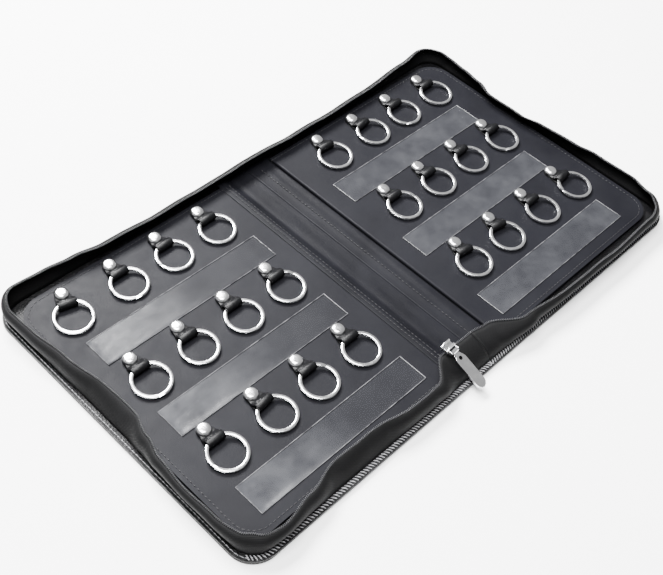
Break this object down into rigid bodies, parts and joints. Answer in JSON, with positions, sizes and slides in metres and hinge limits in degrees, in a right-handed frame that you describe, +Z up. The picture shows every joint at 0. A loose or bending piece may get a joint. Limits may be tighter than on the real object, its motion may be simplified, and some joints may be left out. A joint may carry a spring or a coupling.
{
  "type": "key organiser",
  "caption": "Flat zip-around leather case that opens like a book, with riveted tabs and split rings for keys over clear label windows.",
  "frame": {"origin": "centre of the spine's underside, with the case lying open and flat", "axes": "+X across the open pages to the right, +Y up the page along the spine, +Z up out of the open pages"},
  "size_m": [0.392, 0.2291, 0.0199],
  "materials": {
    "outer_leather": "fine-grained black imitation leather, semi-gloss",
    "panel_leather": "smooth dark grey imitation leather with a soft sheen",
    "tab_leather": "smooth black leather strap",
    "lining": "smooth dark grey imitation leather",
    "gusset": "matt black zip tape and soft gusset",
    "zip_coil": "woven nylon coil, worn grey on top",
    "label_film": "clear soft vinyl window, slightly wrinkled",
    "board": "stiffening board, hidden",
    "polished_steel": "bright nickel-plated steel"
  },
  "bodies": {
    "left_half": {"left_cover_leather": "outer_leather", "left_cover_board": "board", "left_cover_lining": "lining", "left_edge_binding": "outer_leather", "left_panel_board": "board", "left_panel_leather": "panel_leather", "left_label_windows": "label_film", "left_gusset_wall": "gusset", "left_zip_chain": "zip_coil", "left_key_tabs": "tab_leather", "left_tab_rivets": "polished_steel"},
    "spine": {"spine_leather": "outer_leather", "spine_board": "board", "spine_lining": "lining", "top_tape_end": "gusset", "bottom_tape_end": "gusset"},
    "right_half": {"right_cover_leather": "outer_leather", "right_cover_board": "board", "right_cover_lining": "lining", "right_edge_binding": "outer_leather", "right_panel_board": "board", "right_panel_leather": "panel_leather", "right_label_windows": "label_film", "right_gusset_wall": "gusset", "right_zip_chain": "zip_coil", "right_key_tabs": "tab_leather", "right_tab_rivets": "polished_steel"},
    "zip_slider": {"zip_slider": "polished_steel"},
    "zip_pull": {"zip_pull": "polished_steel"},
    "ring_left_row1_col1": {"ring_left_row1_col1": "polished_steel"},
    "ring_left_row1_col2": {"ring_left_row1_col2": "polished_steel"},
    "ring_left_row1_col3": {"ring_left_row1_col3": "polished_steel"},
    "ring_left_row1_col4": {"ring_left_row1_col4": "polished_steel"},
    "ring_left_row2_col1": {"ring_left_row2_col1": "polished_steel"},
    "ring_left_row2_col2": {"ring_left_row2_col2": "polished_steel"},
    "ring_left_row2_col3": {"ring_left_row2_col3": "polished_steel"},
    "ring_left_row2_col4": {"ring_left_row2_col4": "polished_steel"},
    "ring_left_row3_col1": {"ring_left_row3_col1": "polished_steel"},
    "ring_left_row3_col2": {"ring_left_row3_col2": "polished_steel"},
    "ring_left_row3_col3": {"ring_left_row3_col3": "polished_steel"},
    "ring_left_row3_col4": {"ring_left_row3_col4": "polished_steel"},
    "ring_right_row1_col1": {"ring_right_row1_col1": "polished_steel"},
    "ring_right_row1_col2": {"ring_right_row1_col2": "polished_steel"},
    "ring_right_row1_col3": {"ring_right_row1_col3": "polished_steel"},
    "ring_right_row1_col4": {"ring_right_row1_col4": "polished_steel"},
    "ring_right_row2_col1": {"ring_right_row2_col1": "polished_steel"},
    "ring_right_row2_col2": {"ring_right_row2_col2": "polished_steel"},
    "ring_right_row2_col3": {"ring_right_row2_col3": "polished_steel"},
    "ring_right_row2_col4": {"ring_right_row2_col4": "polished_steel"},
    "ring_right_row3_col1": {"ring_right_row3_col1": "polished_steel"},
    "ring_right_row3_col2": {"ring_right_row3_col2": "polished_steel"},
    "ring_right_row3_col3": {"ring_right_row3_col3": "polished_steel"},
    "ring_right_row3_col4": {"ring_right_row3_col4": "polished_steel"}
  },
  "joints": [
    {"name": "spine_fold", "type": "hinge", "parent": "left_half", "child": "spine", "pos_m": [-0.0135, 0, 0.003], "axis": [0, -1, 0], "range_deg": [0, 90]},
    {"name": "cover_fold", "type": "hinge", "parent": "spine", "child": "right_half", "pos_m": [0.0135, 0, 0.003], "axis": [0, -1, 0], "range_deg": [0, 90]},
    {"name": "zip_slide", "type": "slide", "parent": "left_half", "child": "zip_slider", "axis": [-0.9969, -0.0785, 0], "range_m": [0, 0.1]},
    {"name": "pull_swing", "type": "hinge", "parent": "zip_slider", "child": "zip_pull", "pos_m": [-0.01965, -0.09337, 0.0165], "axis": [0.9969, 0.0785, 0], "range_deg": [-110, 0]},
    {"name": "ring_left_row1_col1_swing", "type": "hinge", "parent": "left_half", "child": "ring_left_row1_col1", "pos_m": [-0.0544, 0.0834, 0.00935], "axis": [1, 0, 0], "range_deg": [-120, 0]},
    {"name": "ring_left_row1_col2_swing", "type": "hinge", "parent": "left_half", "child": "ring_left_row1_col2", "pos_m": [-0.0894, 0.0834, 0.00935], "axis": [1, 0, 0], "range_deg": [-120, 0]},
    {"name": "ring_left_row1_col3_swing", "type": "hinge", "parent": "left_half", "child": "ring_left_row1_col3", "pos_m": [-0.1244, 0.0834, 0.00935], "axis": [1, 0, 0], "range_deg": [-120, 0]},
    {"name": "ring_left_row1_col4_swing", "type": "hinge", "parent": "left_half", "child": "ring_left_row1_col4", "pos_m": [-0.16178, 0.08371, 0.00935], "axis": [0.9659, -0.2588, 0], "range_deg": [-120, 0]},
    {"name": "ring_left_row2_col1_swing", "type": "hinge", "parent": "left_half", "child": "ring_left_row2_col1", "pos_m": [-0.0544, 0.0204, 0.00935], "axis": [1, 0, 0], "range_deg": [-120, 0]},
    {"name": "ring_left_row2_col2_swing", "type": "hinge", "parent": "left_half", "child": "ring_left_row2_col2", "pos_m": [-0.0894, 0.0204, 0.00935], "axis": [1, 0, 0], "range_deg": [-120, 0]},
    {"name": "ring_left_row2_col3_swing", "type": "hinge", "parent": "left_half", "child": "ring_left_row2_col3", "pos_m": [-0.1244, 0.0204, 0.00935], "axis": [1, 0, 0], "range_deg": [-120, 0]},
    {"name": "ring_left_row2_col4_swing", "type": "hinge", "parent": "left_half", "child": "ring_left_row2_col4", "pos_m": [-0.1594, 0.0204, 0.00935], "axis": [1, 0, 0], "range_deg": [-120, 0]},
    {"name": "ring_left_row3_col1_swing", "type": "hinge", "parent": "left_half", "child": "ring_left_row3_col1", "pos_m": [-0.0544, -0.0426, 0.00935], "axis": [1, 0, 0], "range_deg": [-120, 0]},
    {"name": "ring_left_row3_col2_swing", "type": "hinge", "parent": "left_half", "child": "ring_left_row3_col2", "pos_m": [-0.0894, -0.0426, 0.00935], "axis": [1, 0, 0], "range_deg": [-120, 0]},
    {"name": "ring_left_row3_col3_swing", "type": "hinge", "parent": "left_half", "child": "ring_left_row3_col3", "pos_m": [-0.12344, -0.04255, 0.00935], "axis": [0.9945, 0.1045, 0], "range_deg": [-120, 0]},
    {"name": "ring_left_row3_col4_swing", "type": "hinge", "parent": "left_half", "child": "ring_left_row3_col4", "pos_m": [-0.1594, -0.0426, 0.00935], "axis": [1, 0, 0], "range_deg": [-120, 0]},
    {"name": "ring_right_row1_col1_swing", "type": "hinge", "parent": "right_half", "child": "ring_right_row1_col1", "pos_m": [0.05376, 0.08342, 0.00935], "axis": [0.9976, -0.0698, 0], "range_deg": [-120, 0]},
    {"name": "ring_right_row1_col2_swing", "type": "hinge", "parent": "right_half", "child": "ring_right_row1_col2", "pos_m": [0.09036, 0.08345, 0.00935], "axis": [0.9945, 0.1045, 0], "range_deg": [-120, 0]},
    {"name": "ring_right_row1_col3_swing", "type": "hinge", "parent": "right_half", "child": "ring_right_row1_col3", "pos_m": [0.1244, 0.0834, 0.00935], "axis": [1, 0, 0], "range_deg": [-120, 0]},
    {"name": "ring_right_row1_col4_swing", "type": "hinge", "parent": "right_half", "child": "ring_right_row1_col4", "pos_m": [0.1594, 0.0834, 0.00935], "axis": [1, 0, 0], "range_deg": [-120, 0]},
    {"name": "ring_right_row2_col1_swing", "type": "hinge", "parent": "right_half", "child": "ring_right_row2_col1", "pos_m": [0.0544, 0.0204, 0.00935], "axis": [1, 0, 0], "range_deg": [-120, 0]},
    {"name": "ring_right_row2_col2_swing", "type": "hinge", "parent": "right_half", "child": "ring_right_row2_col2", "pos_m": [0.0894, 0.0204, 0.00935], "axis": [1, 0, 0], "range_deg": [-120, 0]},
    {"name": "ring_right_row2_col3_swing", "type": "hinge", "parent": "right_half", "child": "ring_right_row2_col3", "pos_m": [0.1244, 0.0204, 0.00935], "axis": [1, 0, 0], "range_deg": [-120, 0]},
    {"name": "ring_right_row2_col4_swing", "type": "hinge", "parent": "right_half", "child": "ring_right_row2_col4", "pos_m": [0.1594, 0.0204, 0.00935], "axis": [1, 0, 0], "range_deg": [-120, 0]},
    {"name": "ring_right_row3_col1_swing", "type": "hinge", "parent": "right_half", "child": "ring_right_row3_col1", "pos_m": [0.05296, -0.04249, 0.00935], "axis": [0.9877, -0.1564, 0], "range_deg": [-120, 0]},
    {"name": "ring_right_row3_col2_swing", "type": "hinge", "parent": "right_half", "child": "ring_right_row3_col2", "pos_m": [0.0878, -0.04246, 0.00935], "axis": [0.9848, -0.1736, 0], "range_deg": [-120, 0]},
    {"name": "ring_right_row3_col3_swing", "type": "hinge", "parent": "right_half", "child": "ring_right_row3_col3", "pos_m": [0.1244, -0.0426, 0.00935], "axis": [1, 0, 0], "range_deg": [-120, 0]},
    {"name": "ring_right_row3_col4_swing", "type": "hinge", "parent": "right_half", "child": "ring_right_row3_col4", "pos_m": [0.1602, -0.04256, 0.00935], "axis": [0.9962, 0.0872, 0], "range_deg": [-120, 0]}
  ]
}
